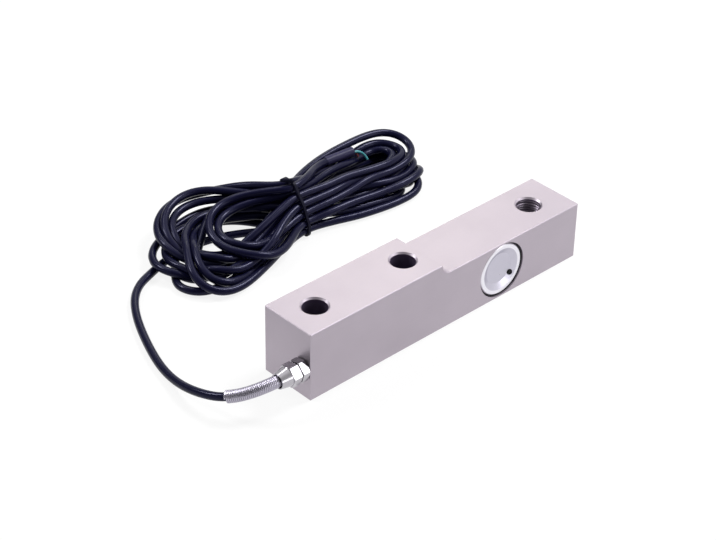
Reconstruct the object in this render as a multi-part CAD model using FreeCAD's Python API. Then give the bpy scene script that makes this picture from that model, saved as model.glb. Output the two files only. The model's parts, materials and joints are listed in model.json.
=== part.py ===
import FreeCAD, Part
import math
import os
from FreeCAD import Placement, Rotation, Vector

# Shear beam load cell with its hanked cable, in millimetres.
# The origin is the centre of the beam's bottom face. +X runs from the cable end to the load end,
# -Y is the front, where the cable enters, and +Z is up.

# Beam
BEAM_LENGTH = 203.2
BEAM_WIDTH = 36.0
BEAM_HEIGHT = 35.8
STEP_HEIGHT = 6.6  # mounting pad above the rest of the beam
PAD_LENGTH = 95.3
STEP_FILLET = 5.6
EDGE_BREAK = 0.4

# Holes through the beam
MOUNT_END_MARGIN = 19.05  # cable end to the first mounting hole
MOUNT_SPACING = 63.5
LOAD_SPACING = 98.6  # second mounting hole to the load hole
MOUNT_BORE = 14.2
MOUNT_CHAMFER = 1.0
LOAD_THREAD = 14.0  # major diameter
LOAD_CHAMFER = 1.0

# Gauge pockets, one from each side, with a shear web left between them
GAUGE_TO_LOAD = 38.8
SEAT_WALL = 1.0  # steel left above and below a cover seat
SEAT_LEDGE = 3.3
SEAT_DEPTH = 1.6
POCKET_FILLET = 1.5
WEB_THICKNESS = 6.0

# Wire channel from the cable end to the front pocket, and the hole through the web
ENTRY_FROM_FRONT = 5.8
ENTRY_ABOVE_AXIS = 0.5  # entry above the pockets' axis
ENTRY_THREAD = 8.0
ENTRY_DEPTH = 10.5
ENTRY_CHAMFER = 0.4
CHANNEL_DIAMETER = 4.8
BRIDGE_HOLE = 3.2

# Pressed covers, their sealant beads and vent plugs
COVER_SHEET = 0.8
BEAD_WIDTH = 1.2  # groove between the cover's rim and the seat wall
BEAD_SINK = 0.4  # bead below the face of the rim
RIM_BREAK = 0.4  # broken outer edge of the rim
DISH_MARGIN = 0.5  # dish mouth inside the pocket wall
DISH_SLOPE = 3.6  # radial run of the dish wall
DISH_DEPTH = 1.7
VENT_HOLE = 3.4
VENT_BEYOND = 1.0  # middle of the vent hole outside the dish floor, on its wall
VENT_ANGLE = -36.0
PLUG_FLANGE = 4.6
PLUG_FLANGE_THICKNESS = 0.8
PLUG_STAND = 0.9  # how far the plug stands out of the dish

# Parts inside the pockets; a share is of the pocket's radius
GAUGE_WIDTH_SHARE = 0.66
GAUGE_HEIGHT_SHARE = 0.53
GAUGE_FOIL = 0.2
GAUGE_CORNER = 0.8
BOARD_WIDTH_SHARE = 0.37
BOARD_HEIGHT_SHARE = 0.66
BOARD_THICKNESS = 1.0
BOARD_OFFSET_SHARE = 0.59  # board centre from the pocket axis, towards the cable
COLUMN_SPREAD = 1.9  # between the two columns of cores on the board
COLUMN_OFFSET = 0.6  # middle of those columns beyond the board's centre
LEAD_WIRE = 0.4
LEAD_PITCH_SHARE = 0.18
LEAD_ARCH = 2.0  # height of a gauge lead over its board
LEAD_INSET = 0.8  # lead ends in from the edges of board and gauge
BRIDGE_WIRE = 0.7
BRIDGE_PITCH = 0.95
BOBBIN_FLANGE = 3.6
BOBBIN_CORE = 2.4
BOBBIN_HEIGHT = 3.2
BOBBIN_RIM = 0.5
BOBBIN_OFFSET_SHARE = 0.59
BOBBIN_PITCH_SHARE = 0.52

# Cable and its cores
CABLE_DIAMETER = 4.8
CORE_DIAMETER = 1.6
CORE_PITCH = 1.7
CORE_PLACES = {"red": (-1, 1), "black": (1, 1), "green": (-1, -1), "white": (1, -1)}
JACKET_START = 5.0  # jacket end inside the gland, out from the end face

# Cable gland, by distance out from the end face
HEX_FLATS = 11.6
HEX_CHAMFER = 0.5
SEAL_DIAMETER = 10.8
SEAL_THICKNESS = 0.5
BODY_HEX_LENGTH = 4.4
BODY_TURN = 17.0  # turn of the body's hexagon from a level corner row
STEM_LENGTH = 9.0
SPIGOT_LENGTH = 5.6
SPIGOT_WALL = 0.8
BUSH_WALL = 1.05
BUSH_LENGTH = 4.4
WASHER_THICKNESS = 0.6
NUT_STAND_OFF = 0.8  # groove between the body's hexagon and the nut
NUT_HEX_LENGTH = 5.4
NUT_WALL = 1.1
NUT_TURN = 20.0
THROAT_LENGTH = 1.0
NOSE_LENGTH = 6.5
NOSE_WALL = 0.5
SPRING_SEAT = 3.0  # length of the nose's bore that grips the spring

# Bend spring that leaves the nose of the gland
SPRING_WIRE = 0.9
SPRING_LENGTH = 33.0

# Loose lead: straight out of the gland, then points by their place from the entry
# and their lift over the cable's height when it lies on the floor
STRAIGHT_OUT = 24.6
LEAD_POINTS = [
    (-41.6, 11.8, 10.3),
    (-46.7, 33.1, 5.3),
    (-44.1, 56.3, 0.1),
    (-38.1, 78.9, 0),
    (-23.1, 113.0, 0),
    (-7.5, 132.6, 0),
    (13.4, 140.2, 0),
]
ARC_SHARE = 0.45  # share of the shorter run that a bend takes up

# Hank of cable: its waist from the entry, and its outline from the waist
WAIST_FROM_ENTRY = (101.6, 121.7)
HANK_OUTLINE = [
    (0, -12.5),
    (22, -19),
    (50, -25.5),
    (74, -26.5),
    (88, -19.5),
    (97, -4),
    (98.5, 10),
    (90, 22),
    (62, 24.5),
    (32, 18.5),
    (0, 16),
    (-14, 33),
    (-30, 50.5),
    (-48, 54),
    (-66, 49.5),
    (-82, 37.5),
    (-91, 19),
    (-92, -4),
    (-83, -25.5),
    (-66, -30),
    (-36, -26),
    (-16, -19),
]
HANK_HEIGHT = 30.0
LEFT_HEIGHT = 17.0  # at the left end, where the loops fan out
LEAN_START = 10.0  # top leans down to the left from here
HANK_TOP_FILLET = 7.0
HANK_BASE_FILLET = 3.0
LEAD_FLAT = 9.0  # flat on the hank where the lead comes in

# Tie round the waist, and the middles of the outermost strands inside it: place from the waist
# and height over the lowest strand
WAIST_STRANDS = [(-9.6, 0), (-9.2, 4.8), (-5.0, 14.4), (2.2, 24), (7.2, 24), (11.4, 14.4), (11.4, 0)]
TIE_WIDTH = 1.6
TIE_THICKNESS = 1.4
TIE_TAIL_DIAMETER = 2.2
TIE_TAIL_LENGTH = 6.0
TIE_TAIL_HEADING = 140.0
TIE_TAIL_SINK = 0.3

# Free end of the cable, in a hollow on top of the hank, from the waist
SLEEVE_START = (38.5, 16.0)
SLEEVE_HEADING = -5.3
SLEEVE_LENGTH = 20.0
SLEEVE_WALL = 0.5
SLEEVE_REST = 20.0  # height of the hollow's floor
HOLLOW_LENGTH = 36.0
HOLLOW_FRONT = 19.0
HOLLOW_BACK = 3.6
WELL_FLOOR = 13.0  # deeper part of the hollow, under the bare cores
TAIL_PLACES = {"green": (1, 1), "red": (1, -1), "black": (-1, 1), "white": (-1, -1)}
TAIL_STRAIGHT = 0.3
TAIL_BENDS = {"green": 6.8, "red": 2.8}  # radii; the other two are cut short before the bend
TAIL_TURN = 86.0
TAIL_DIP = 50.0
TAIL_END = 0.8  # straight run after the bend

# Clearances
THREAD_CLEARANCE = 0.1
SLIP_CLEARANCE = 0.1
BUSH_CLEARANCE = 0.05
CABLE_CLEARANCE = 0.15
SPRING_CLEARANCE = 0.2
NOSE_CLEARANCE = 0.4  # round the spring where it leaves the nose
BEAD_CLEARANCE = 0.03
FLOOR_CLEARANCE = 0.1
PAST = 2.0  # how far a cutter runs past a face

end_x = -BEAM_LENGTH / 2
mount_1_x = end_x + MOUNT_END_MARGIN
mount_2_x = mount_1_x + MOUNT_SPACING
load_x = mount_2_x + LOAD_SPACING
gauge_x = load_x - GAUGE_TO_LOAD
gauge_z = BEAM_HEIGHT / 2
pad_height = BEAM_HEIGHT + STEP_HEIGHT
half_width = BEAM_WIDTH / 2
half_web = WEB_THICKNESS / 2
seat_radius = BEAM_HEIGHT / 2 - SEAT_WALL
pocket_radius = seat_radius - SEAT_LEDGE
cover_recess = SEAT_DEPTH - COVER_SHEET
dish_mouth = pocket_radius - DISH_MARGIN
dish_floor = dish_mouth - DISH_SLOPE
vent_offset = dish_floor + VENT_BEYOND

gauge_width = GAUGE_WIDTH_SHARE * pocket_radius
board_width = BOARD_WIDTH_SHARE * pocket_radius
board_x = gauge_x - BOARD_OFFSET_SHARE * pocket_radius

cable_radius = CABLE_DIAMETER / 2
gland_bore = cable_radius + CABLE_CLEARANCE
bush_bore = cable_radius + BUSH_CLEARANCE
bush_radius = bush_bore + BUSH_WALL
spigot_bore = bush_radius + SLIP_CLEARANCE
spigot_radius = spigot_bore + SPIGOT_WALL
nut_bore = spigot_radius + THREAD_CLEARANCE
spring_bore = cable_radius + SPRING_CLEARANCE
spring_radius = spring_bore + SPRING_WIRE
spring_socket = spring_radius + SLIP_CLEARANCE
nose_mouth = spring_radius + NOSE_CLEARANCE

body_hex_end = SEAL_THICKNESS + BODY_HEX_LENGTH
spigot_end = body_hex_end + SPIGOT_LENGTH
nut_start = body_hex_end + NUT_STAND_OFF
nut_hex_end = nut_start + NUT_HEX_LENGTH
nut_inner_end = spigot_end + WASHER_THICKNESS
spring_start = nut_inner_end + THROAT_LENGTH
nose_tip = nut_hex_end + NOSE_LENGTH

entry = Vector(end_x, ENTRY_FROM_FRONT - half_width, gauge_z + ENTRY_ABOVE_AXIS)
outward = Vector(-1, 0, 0)
waist = Vector(entry.x + WAIST_FROM_ENTRY[0], entry.y + WAIST_FROM_ENTRY[1], 0)
lowest_strand = FLOOR_CLEARANCE + TIE_THICKNESS + cable_radius


def unit(vector):
    return Vector(vector).normalize()


def heading(degrees):
    """Level direction at an angle from +X towards +Y."""
    return Vector(math.cos(math.radians(degrees)), math.sin(math.radians(degrees)), 0)


def turned(profile, origin, direction):
    """Solid of revolution from (radius, distance along the axis) corners."""
    corners = [Vector(radius, 0, along) for radius, along in profile]
    face = Part.Face(Part.makePolygon(corners + corners[:1]))
    solid = face.revolve(Vector(0, 0, 0), Vector(0, 0, 1), 360)
    solid.Placement = Placement(origin, Rotation(Vector(0, 0, 1), direction))
    return solid


def ring(inner, outer, start, end, origin, direction):
    corners = [(inner, start), (outer, start), (outer, end), (inner, end)]
    return turned(corners, origin, direction)


def hexagon(start, length, turn):
    """Hexagon on the gland's axis with turned chamfers on both ends."""
    corner = HEX_FLATS / math.sqrt(3)
    angles = [math.radians(turn + 30 + 60 * step) for step in range(7)]
    points = [entry + outward * start + Vector(0, math.cos(a), math.sin(a)) * corner for a in angles]
    prism = Part.Face(Part.makePolygon(points)).extrude(outward * length)
    end = start + length
    flat = corner - HEX_CHAMFER
    rise = HEX_CHAMFER / math.sqrt(3)
    blank = [(0, start), (flat, start), (corner, start + rise), (corner, end - rise), (flat, end), (0, end)]
    return prism.common(turned(blank, entry, outward))


def bend_at(before, corner, after):
    """Trim along both runs, radius and half angle of the bend at a corner."""
    half_turn = (corner - before).getAngle(after - corner) / 2
    trim = ARC_SHARE * min((corner - before).Length, (after - corner).Length)
    return trim, trim / math.tan(half_turn), half_turn


def rounded_route(points):
    """Straight runs joined by tangent arcs, each as large as its two runs allow."""
    edges = []
    start = points[0]
    for before, corner, after in zip(points, points[1:], points[2:]):
        trim, radius, half_turn = bend_at(before, corner, after)
        arriving = unit(corner - before)
        leaving = unit(after - corner)
        bend_start = corner - arriving * trim
        bend_end = corner + leaving * trim
        bend_middle = corner + unit(leaving - arriving) * (radius / math.cos(half_turn) - radius)
        edges.append(Part.LineSegment(start, bend_start).toShape())
        edges.append(Part.Arc(bend_start, bend_middle, bend_end).toShape())
        start = bend_end
    edges.append(Part.LineSegment(start, points[-1]).toShape())
    return edges


def stretch(edges, start, end):
    """The part of a route between two lengths along it."""
    kept = []
    passed = 0
    for edge in edges:
        low = max(start - passed, 0)
        high = min(end - passed, edge.Length)
        if high > low:
            first = edge.getParameterByLength(low)
            last = edge.getParameterByLength(high)
            kept.append(edge.Curve.toShape(first, last))
        passed += edge.Length
    return kept


def tube(edges, radius):
    """Round rod along a route."""
    start = edges[0].valueAt(edges[0].FirstParameter)
    direction = edges[0].tangentAt(edges[0].FirstParameter)
    section = Part.Face(Part.Wire(Part.makeCircle(radius, start, direction)))
    return Part.Wire(edges).makePipe(section)


def through_hole(x, diameter, chamfer, height):
    """Cutter for an upright hole, chamfered at both mouths."""
    radius = diameter / 2
    mouth = radius + chamfer + PAST
    profile = [(0, -PAST), (mouth, -PAST), (radius, chamfer)]
    profile += [(radius, height - chamfer), (mouth, height + PAST), (0, height + PAST)]
    return turned(profile, Vector(x, 0, 0), Vector(0, 0, 1))


def pocket_axis(side):
    """Centre of a gauge pocket on its side face, and the way in: side is -1 in front, 1 behind."""
    return Vector(gauge_x, side * half_width, gauge_z), Vector(0, -side, 0)


def make_beam():
    low = Vector(end_x, -half_width, 0)
    foot = end_x + PAD_LENGTH
    fillet = min(STEP_FILLET, STEP_HEIGHT - 2 * EDGE_BREAK)
    bend = fillet * (1 - math.sqrt(0.5))
    top_end = Vector(foot, low.y, pad_height)
    arc_start = Vector(foot, low.y, BEAM_HEIGHT + fillet)
    arc_middle = Vector(foot + bend, low.y, BEAM_HEIGHT + bend)
    arc_end = Vector(foot + fillet, low.y, BEAM_HEIGHT)
    load_end = Vector(-end_x, low.y, BEAM_HEIGHT)
    corners = [arc_end, load_end, Vector(-end_x, low.y, 0), low, Vector(end_x, low.y, pad_height)]
    outline = Part.makePolygon(corners + [top_end, arc_start]).Edges
    outline.append(Part.Arc(arc_start, arc_middle, arc_end).toShape())
    beam = Part.Face(Part.Wire(outline)).extrude(Vector(0, BEAM_WIDTH, 0))
    sharp = [edge for edge in beam.Edges if not is_fillet_seam(edge, foot, fillet)]
    beam = beam.makeChamfer(EDGE_BREAK, sharp)

    cutters = [
        through_hole(mount_1_x, MOUNT_BORE, MOUNT_CHAMFER, pad_height),
        through_hole(mount_2_x, MOUNT_BORE, MOUNT_CHAMFER, pad_height),
        through_hole(load_x, LOAD_THREAD, LOAD_CHAMFER, BEAM_HEIGHT),
        make_wire_channel(),
        make_bridge_hole(),
    ]
    cutters += make_pocket_cutters(-1)
    cutters += make_pocket_cutters(1)
    for cutter in cutters:
        beam = beam.cut(cutter)
    return beam


def is_fillet_seam(edge, foot, fillet):
    """True where the step's fillet runs smoothly into a flat, so there is no edge to break."""
    middle = edge.BoundBox.Center
    near = EDGE_BREAK / 2
    at_wall = abs(middle.x - foot) < near and abs(middle.z - BEAM_HEIGHT - fillet) < near
    at_top = abs(middle.x - foot - fillet) < near and abs(middle.z - BEAM_HEIGHT) < near
    return edge.BoundBox.YLength > EDGE_BREAK and (at_wall or at_top)


def make_pocket_cutters(side):
    origin, inward = pocket_axis(side)
    seat = ring(0, seat_radius, -PAST, SEAT_DEPTH, origin, inward)
    pocket = Part.makeCylinder(pocket_radius, half_width - half_web + PAST, origin - inward * PAST, inward)
    rims = [edge for edge in pocket.Edges if edge.BoundBox.YLength < POCKET_FILLET]
    floor_rim = [edge for edge in rims if abs(edge.BoundBox.Center.y) < half_width / 2]
    return [seat, pocket.makeFillet(POCKET_FILLET, floor_rim)]


def make_wire_channel():
    """Threaded entry with a drill point, then the long channel into the front pocket."""
    thread = ENTRY_THREAD / 2
    channel = CHANNEL_DIAMETER / 2
    mouth = thread + ENTRY_CHAMFER + PAST
    point = ENTRY_DEPTH + (thread - channel)
    length = gauge_x - end_x - pocket_radius / 2
    profile = [(0, -PAST), (mouth, -PAST), (thread, ENTRY_CHAMFER), (thread, ENTRY_DEPTH)]
    profile += [(channel, point), (channel, length), (0, length)]
    return turned(profile, entry, -outward)


def make_bridge_hole():
    origin = Vector(board_x, -half_web - PAST, gauge_z)
    return Part.makeCylinder(BRIDGE_HOLE / 2, WEB_THICKNESS + 2 * PAST, origin, Vector(0, 1, 0))


def vent_place(side):
    angle = math.radians(VENT_ANGLE)
    along = Vector(math.cos(angle), 0, math.sin(angle)) * vent_offset
    return pocket_axis(side)[0] + along


def make_cover(side):
    """Pressed cup: flat rim on the seat, sloped wall, sunk floor with a vent hole."""
    origin, inward = pocket_axis(side)
    rim = seat_radius - BEAD_WIDTH
    wall = math.hypot(DISH_SLOPE, DISH_DEPTH)
    behind = COVER_SHEET * (wall - DISH_SLOPE) / DISH_DEPTH
    rim_face = cover_recess
    floor_face = rim_face + DISH_DEPTH
    profile = [(0, floor_face), (dish_floor, floor_face), (dish_mouth, rim_face)]
    profile += [(rim - RIM_BREAK, rim_face), (rim, rim_face + RIM_BREAK)]
    profile += [(rim, SEAT_DEPTH), (dish_mouth + behind, SEAT_DEPTH)]
    profile += [(dish_floor + behind, floor_face + COVER_SHEET), (0, floor_face + COVER_SHEET)]
    hole = ring(0, VENT_HOLE / 2, 0, SEAT_DEPTH + DISH_DEPTH + PAST, vent_place(side), inward)
    return turned(profile, origin, inward).cut(hole)


def make_bead(side):
    origin, inward = pocket_axis(side)
    inner = seat_radius - BEAD_WIDTH + BEAD_CLEARANCE
    outer = seat_radius - BEAD_CLEARANCE
    return ring(inner, outer, cover_recess + BEAD_SINK, SEAT_DEPTH, origin, inward)


def make_vent_plug(side):
    """Rubber plug through the edge of the dish floor, held by a flange behind it."""
    inward = pocket_axis(side)[1]
    shank = VENT_HOLE / 2 - SLIP_CLEARANCE
    floor_face = cover_recess + DISH_DEPTH
    behind = floor_face + COVER_SHEET
    flange_end = behind + PLUG_FLANGE_THICKNESS
    flange = PLUG_FLANGE / 2
    front = floor_face - PLUG_STAND
    profile = [(0, front), (shank - PLUG_STAND, front), (shank, floor_face)]
    profile += [(shank, behind), (flange, behind), (flange, flange_end), (0, flange_end)]
    return turned(profile, vent_place(side), inward)


def plate(side, centre_x, width, height, thickness, corner):
    """Flat plate with rounded corners, bonded to the web inside a pocket."""
    low = Vector(centre_x - width / 2, side * half_web, gauge_z - height / 2)
    box = Part.makeBox(width, thickness, height, low)
    if side < 0:
        box.translate(Vector(0, -thickness, 0))
    upright = [edge for edge in box.Edges if edge.BoundBox.YLength > thickness / 2]
    return box.makeFillet(corner, upright)


def make_gauge(side):
    height = GAUGE_HEIGHT_SHARE * pocket_radius
    return plate(side, gauge_x, gauge_width, height, GAUGE_FOIL, GAUGE_CORNER)


def make_board(side):
    height = BOARD_HEIGHT_SHARE * pocket_radius
    return plate(side, board_x, board_width, height, BOARD_THICKNESS, GAUGE_CORNER)


def make_gauge_leads(side):
    """Fine leads that arch from the board to the gauge."""
    board_face = side * (half_web + BOARD_THICKNESS)
    gauge_face = side * (half_web + GAUGE_FOIL)
    arch = board_face + side * LEAD_ARCH
    from_x = board_x + board_width / 2 - LEAD_INSET
    to_x = gauge_x - gauge_width / 2 + LEAD_INSET
    leads = []
    for step in (-1, 0, 1):
        z = gauge_z + step * LEAD_PITCH_SHARE * pocket_radius
        points = [(from_x, board_face), (from_x, arch), (to_x, arch), (to_x, gauge_face)]
        route = rounded_route([Vector(x, y, z) for x, y in points])
        leads.append(tube(route, LEAD_WIRE / 2))
    return Part.makeCompound(leads)


def make_bridge_wires():
    """Wires through the web from the terminal board to the rear strip."""
    wires = []
    for step in (-1, 0, 1):
        start = Vector(board_x, -half_web, gauge_z + step * BRIDGE_PITCH)
        wires.append(Part.makeCylinder(BRIDGE_WIRE / 2, WEB_THICKNESS, start, Vector(0, 1, 0)))
    return Part.makeCompound(wires)


def make_bobbins():
    """Wire-wound compensation bobbins standing on the front of the web."""
    flange = BOBBIN_FLANGE / 2
    core = BOBBIN_CORE / 2
    top = BOBBIN_HEIGHT
    profile = [(0, 0), (flange, 0), (flange, BOBBIN_RIM), (core, BOBBIN_RIM)]
    profile += [(core, top - BOBBIN_RIM), (flange, top - BOBBIN_RIM), (flange, top), (0, top)]
    bobbins = []
    x = gauge_x + BOBBIN_OFFSET_SHARE * pocket_radius
    for step in (-0.5, 0.5):
        place = Vector(x, -half_web, gauge_z + step * BOBBIN_PITCH_SHARE * pocket_radius)
        bobbins.append(turned(profile, place, Vector(0, -1, 0)))
    return Part.makeCompound(bobbins)


def make_core(colour):
    """Insulated core from the jacket's end, along the channel, to its pad on the board."""
    across, up = CORE_PLACES[colour]
    y = entry.y + across * CORE_PITCH / 2
    z = entry.z + up * CORE_PITCH / 2
    column = board_x - COLUMN_OFFSET - across * COLUMN_SPREAD / 2
    board_face = -half_web - BOARD_THICKNESS
    start = Vector(end_x - JACKET_START, y, z)
    route = rounded_route([start, Vector(column, y, z), Vector(column, board_face, z)])
    return tube(route, CORE_DIAMETER / 2)


def make_gland_seal():
    inner = ENTRY_THREAD / 2 + SLIP_CLEARANCE
    return ring(inner, SEAL_DIAMETER / 2, 0, SEAL_THICKNESS, entry, outward)


def make_gland_body():
    """Threaded stem, hexagon and the spigot that the nut screws on."""
    stem = ENTRY_THREAD / 2 - THREAD_CLEARANCE
    body = hexagon(SEAL_THICKNESS, BODY_HEX_LENGTH, BODY_TURN)
    body = body.fuse(ring(0, stem, -STEM_LENGTH, SEAL_THICKNESS, entry, outward))
    body = body.fuse(ring(0, spigot_radius, body_hex_end, spigot_end, entry, outward))
    body = body.cut(ring(0, gland_bore, -STEM_LENGTH - PAST, spigot_end + PAST, entry, outward))
    body = body.cut(ring(0, spigot_bore, spigot_end - BUSH_LENGTH, spigot_end + PAST, entry, outward))
    return body.removeSplitter()


def make_seal_bush():
    return ring(bush_bore, bush_radius, spigot_end - BUSH_LENGTH, spigot_end, entry, outward)


def make_thrust_washer():
    return ring(gland_bore, nut_bore - SLIP_CLEARANCE, spigot_end, nut_inner_end, entry, outward)


def make_gland_nut():
    """Hexagon nut with a tapered nose that holds the spring."""
    root_radius = nut_bore + NUT_WALL
    nose = [(0, nut_hex_end), (root_radius, nut_hex_end), (nose_mouth + NOSE_WALL, nose_tip), (0, nose_tip)]
    nut = hexagon(nut_start, NUT_HEX_LENGTH, NUT_TURN).fuse(turned(nose, entry, outward))
    seat_end = spring_start + SPRING_SEAT
    bore = [(0, nut_start - PAST), (nut_bore, nut_start - PAST), (nut_bore, nut_inner_end)]
    bore += [(gland_bore, nut_inner_end), (gland_bore, spring_start), (spring_socket, spring_start)]
    bore += [(spring_socket, seat_end), (nose_mouth, seat_end)]
    bore += [(nose_mouth, nose_tip + PAST), (0, nose_tip + PAST)]
    return nut.cut(turned(bore, entry, outward)).removeSplitter()


def lead_route():
    floor = cable_radius + FLOOR_CLEARANCE
    points = [entry + outward * JACKET_START, entry + outward * STRAIGHT_OUT]
    points += [Vector(entry.x + dx, entry.y + dy, floor + lift) for dx, dy, lift in LEAD_POINTS]
    radii = [bend_at(*corner)[1] for corner in zip(points, points[1:], points[2:])]
    print("lead bend radii:", [round(radius, 1) for radius in radii])
    return points, rounded_route(points)


def make_spring(edges):
    """Close-wound bend spring round the cable, as the sleeve of its outer and inner diameters."""
    start = spring_start - JACKET_START
    covered = stretch(edges, start, start + SPRING_LENGTH)
    return tube(covered, spring_radius).cut(tube(covered, spring_bore))


def slab(origin, direction, length, left, right, low, high):
    """Level-sided box that runs from an origin along a level direction."""
    across = Vector(-direction.y, direction.x, 0)
    base = Vector(origin.x, origin.y, low)
    corners = [base - across * right, base + across * left]
    corners += [corner + direction * length for corner in reversed(corners)]
    return Part.Face(Part.makePolygon(corners + corners[:1])).extrude(Vector(0, 0, high - low))


def waist_section(x, grow, length):
    """Block across the waist, drawn round its outermost strands and grown by an amount all round."""
    corners = [Vector(x, waist.y + y, lowest_strand + z) for y, z in WAIST_STRANDS]
    middles = Part.Face(Part.makePolygon(corners + corners[:1]))
    return middles.makeOffset2D(cable_radius + grow).extrude(Vector(length, 0, 0))


def tail_frame():
    """Start of the end sleeve's axis and its direction."""
    height = SLEEVE_REST + cable_radius + SLEEVE_WALL
    start = waist + Vector(SLEEVE_START[0], SLEEVE_START[1], height)
    return start, heading(SLEEVE_HEADING)


def make_hank(lead_points):
    """Outer shape of the tied hank, with the tie's groove and rests for both cable ends."""
    outline = Part.BSplineCurve()
    outline.interpolate(Points=[waist + Vector(x, y, 0) for x, y in HANK_OUTLINE], PeriodicFlag=True)
    hank = Part.Face(Part.Wire(outline.toShape())).extrude(Vector(0, 0, HANK_HEIGHT))
    top_rim = [edge for edge in hank.Edges if edge.BoundBox.ZMin > HANK_HEIGHT / 2]
    hank = hank.makeFillet(HANK_TOP_FILLET, top_rim)
    base_rim = [edge for edge in hank.Edges if edge.BoundBox.ZMax < HANK_BASE_FILLET]
    hank = hank.makeFillet(HANK_BASE_FILLET, base_rim)

    top = HANK_HEIGHT + PAST
    reach = max(y for x, y in HANK_OUTLINE) + PAST
    left = min(x for x, y in HANK_OUTLINE) - PAST
    lean = [(-LEAN_START, HANK_HEIGHT), (left, LEFT_HEIGHT), (left, top), (-LEAN_START, top)]
    lean = [waist + Vector(x, -reach, z) for x, z in lean]
    hank = hank.cut(Part.Face(Part.makePolygon(lean + lean[:1])).extrude(Vector(0, 2 * reach, 0)))

    groove_width = TIE_WIDTH + 2 * SLIP_CLEARANCE
    groove_x = waist.x - groove_width / 2
    groove = Part.makeBox(groove_width, 2 * reach, 2 * reach, Vector(groove_x, waist.y - reach, -reach))
    hank = hank.cut(groove.cut(waist_section(groove_x - PAST, 0, groove_width + 2 * PAST)))

    arriving = unit(lead_points[-1] - lead_points[-2])
    hank = hank.cut(slab(lead_points[-1], -arriving, LEAD_FLAT * 2, LEAD_FLAT, LEAD_FLAT, -PAST, top))

    start, direction = tail_frame()
    hank = hank.cut(slab(start, direction, HOLLOW_LENGTH, HOLLOW_BACK, HOLLOW_FRONT, SLEEVE_REST, top))
    well = start + direction * SLEEVE_LENGTH
    well_length = HOLLOW_LENGTH - SLEEVE_LENGTH
    return hank.cut(slab(well, direction, well_length, HOLLOW_BACK, HOLLOW_FRONT, WELL_FLOOR, top))


def make_tie():
    """Wire tie drawn tight round the waist, with its twisted tail on top."""
    outer = waist_section(waist.x - TIE_WIDTH / 2, TIE_THICKNESS, TIE_WIDTH)
    inner = waist_section(waist.x - TIE_WIDTH / 2 - PAST, BEAD_CLEARANCE, TIE_WIDTH + 2 * PAST)
    radius = TIE_TAIL_DIAMETER / 2
    side, height = max(WAIST_STRANDS, key=lambda place: place[1])
    top = lowest_strand + height + cable_radius + TIE_THICKNESS
    tail_start = Vector(waist.x, waist.y + side, top + radius - TIE_TAIL_SINK)
    tail = [(0, -radius), (radius / 2, -radius), (radius, 0), (radius, TIE_TAIL_LENGTH)]
    tail += [(radius / 2, TIE_TAIL_LENGTH + radius), (0, TIE_TAIL_LENGTH + radius)]
    return outer.cut(inner).fuse(turned(tail, tail_start, heading(TIE_TAIL_HEADING))).removeSplitter()


def make_sleeve():
    start, direction = tail_frame()
    return ring(0, cable_radius + SLEEVE_WALL, 0, SLEEVE_LENGTH, start, direction)


def make_core_tail(colour):
    """Core that leaves the sleeve; a long one bends to the front and down."""
    across, up = TAIL_PLACES[colour]
    start, direction = tail_frame()
    dip = math.radians(TAIL_DIP)
    level = Vector(direction.y, -direction.x, 0)
    aside = level * math.cos(dip) - Vector(0, 0, math.sin(dip))
    over = level * math.sin(dip) + Vector(0, 0, math.cos(dip))
    origin = start + direction * SLEEVE_LENGTH + (aside * across + over * up) * (CORE_PITCH / 2)
    bend_start = origin + direction * TAIL_STRAIGHT
    edges = [Part.LineSegment(origin, bend_start).toShape()]
    if colour in TAIL_BENDS:
        radius = TAIL_BENDS[colour]
        turn = math.radians(TAIL_TURN)
        centre = bend_start + aside * radius
        bend_middle = centre + (direction * math.sin(turn / 2) - aside * math.cos(turn / 2)) * radius
        bend_end = centre + (direction * math.sin(turn) - aside * math.cos(turn)) * radius
        leaving = direction * math.cos(turn) + aside * math.sin(turn)
        edges.append(Part.Arc(bend_start, bend_middle, bend_end).toShape())
        edges.append(Part.LineSegment(bend_end, bend_end + leaving * TAIL_END).toShape())
    return tube(edges, CORE_DIAMETER / 2)


lead_points, lead_edges = lead_route()
lead = tube(lead_edges, cable_radius)
lead_length = sum(edge.Length for edge in lead_edges)
print("lead length:", round(lead_length, 1))
lead_share = lead.Volume / (math.pi * cable_radius**2 * lead_length)
print("lead volume over section times length:", round(lead_share, 4))

nodes = {
    "beam_body": make_beam(),
    "terminal_board": make_board(-1),
    "rear_terminal_strip": make_board(1),
    "bridge_wires": make_bridge_wires(),
    "compensation_bobbins": make_bobbins(),
    "gland_seal": make_gland_seal(),
    "gland_body": make_gland_body(),
    "seal_bush": make_seal_bush(),
    "thrust_washer": make_thrust_washer(),
    "gland_nut": make_gland_nut(),
    "bend_spring": make_spring(lead_edges),
    "cable_lead": lead,
    "cable_hank": make_hank(lead_points),
    "cable_tie": make_tie(),
    "end_sleeve": make_sleeve(),
}
for name, side in (("front", -1), ("rear", 1)):
    nodes[name + "_cover"] = make_cover(side)
    nodes[name + "_cover_bead"] = make_bead(side)
    nodes[name + "_vent_plug"] = make_vent_plug(side)
    nodes[name + "_strain_gauge"] = make_gauge(side)
    nodes[name + "_gauge_leads"] = make_gauge_leads(side)
for colour in CORE_PLACES:
    nodes["core_" + colour] = make_core(colour)
    nodes["end_core_" + colour] = make_core_tail(colour)

os.makedirs("parts", exist_ok=True)
for name, shape in nodes.items():
    shape.exportStep("parts/" + name + ".step")
    print(name, "valid:", shape.isValid(), "solids:", len(shape.Solids), "volume:", round(shape.Volume, 2))
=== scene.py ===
import json
import math

import bpy
import numpy as np
from mathutils import Matrix, Vector


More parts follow.
